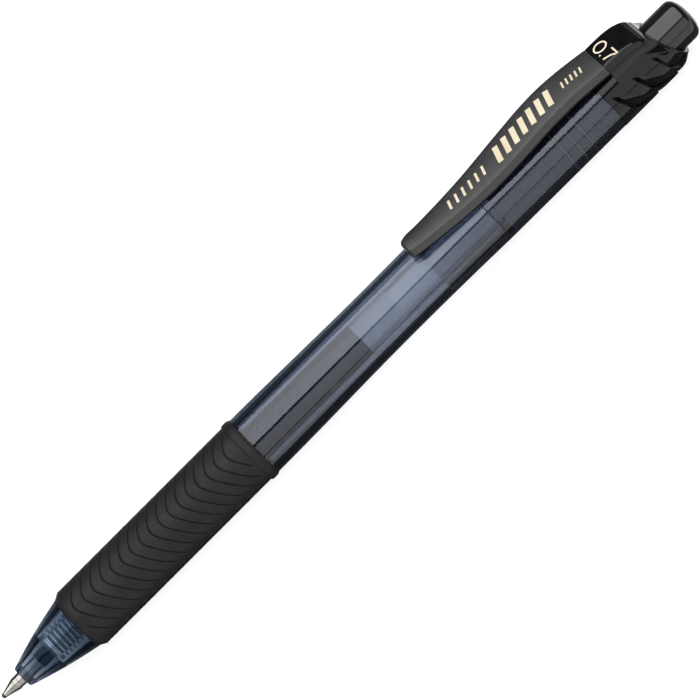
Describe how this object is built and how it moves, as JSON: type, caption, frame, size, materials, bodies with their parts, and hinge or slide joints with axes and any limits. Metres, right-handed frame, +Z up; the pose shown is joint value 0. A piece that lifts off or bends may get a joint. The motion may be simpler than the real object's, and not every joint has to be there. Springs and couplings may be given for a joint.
{
  "type": "retractable gel pen",
  "caption": "Retractable gel pen with a see-through barrel, a grooved rubber grip, a long pocket clip and a knock button.",
  "frame": {"origin": "on the surface that the pen lies on, under the middle of its length, with the writing tip out", "axes": "+X along the pen from the writing tip to the knock button, +Z up with the clip on top"},
  "size_m": [0.146, 0.0112, 0.0143],
  "materials": {
    "smoke_plastic": "polished see-through blue-grey plastic",
    "grip_rubber": "matte moulded rubber with fine arched grooves",
    "spring_wire": "bright drawn wire",
    "ball_carbide": "ground, wetted with ink",
    "tip_metal": "fine turned metal",
    "holder_plastic": "moulded",
    "tube_plastic": "clear extruded tube",
    "gel_ink": "wet black gel",
    "follower_gel": "clear grease",
    "mechanism_plastic": "moulded, low gloss",
    "rotor_plastic": "moulded, natural white",
    "cap_plastic": "high gloss black",
    "clip_plastic": "satin grey-black with gloss edges",
    "button_plastic": "gloss black"
  },
  "bodies": {
    "front": {"front_barrel": "smoke_plastic", "rubber_grip": "grip_rubber", "return_spring": "spring_wire"},
    "refill": {"tip_cone": "tip_metal", "ball_spring": "spring_wire", "tip_holder": "holder_plastic", "refill_tube": "tube_plastic", "ink_column": "gel_ink", "ink_follower": "follower_gel", "tail_plug": "mechanism_plastic"},
    "ball": {"tip_ball": "ball_carbide"},
    "rotor": {"cam_rotor": "rotor_plastic"},
    "rear": {"rear_barrel": "smoke_plastic"},
    "tail": {"tail_cap": "cap_plastic", "cam_sleeve": "mechanism_plastic"},
    "clip": {"pocket_clip": "clip_plastic"},
    "button": {"knock_button": "button_plastic", "push_rod": "mechanism_plastic"}
  },
  "joints": [
    {"name": "refill_slide", "type": "slide", "parent": "front", "child": "refill", "axis": [1, 0, 0], "range_m": [-0.0015, 0.006], "deforming": ["return_spring"]},
    {"name": "ball_roll", "type": "hinge", "parent": "refill", "child": "ball", "pos_m": [-0.07265, 0, 0.00561], "axis": [0, 1, 0], "continuous": true},
    {"name": "rotor_turn", "type": "hinge", "parent": "refill", "child": "rotor", "pos_m": [0.04, 0, 0.00561], "axis": [1, 0, 0], "range_deg": [-9.5, 36.5]},
    {"name": "thread_advance", "type": "slide", "parent": "front", "child": "rear", "axis": [1, 0, 0], "range_m": [0, 0.0045]},
    {"name": "tail_turn", "type": "hinge", "parent": "rear", "child": "tail", "pos_m": [0.0302, 0, 0.00561], "axis": [1, 0, 0], "range_deg": [-1, 1081]},
    {"name": "clip_flex", "type": "hinge", "parent": "tail", "child": "clip", "pos_m": [0.0576, 0, 0.01321], "axis": [0, 1, 0], "range_deg": [0, 4], "stiffness_Nm_per_rad": 2},
    {"name": "button_press", "type": "slide", "parent": "tail", "child": "button", "axis": [1, 0, 0], "range_m": [-0.0015, 0.006], "stiffness_N_per_m": 150}
  ],
  "couplings": [
    {"joint": "refill_slide", "follows": "button_press", "ratio": 1},
    {"joint": "rotor_turn", "follows": "button_press", "rad_per_m": 104.72},
    {"joint": "tail_turn", "follows": "thread_advance", "rad_per_m": 4188.8}
  ]
}
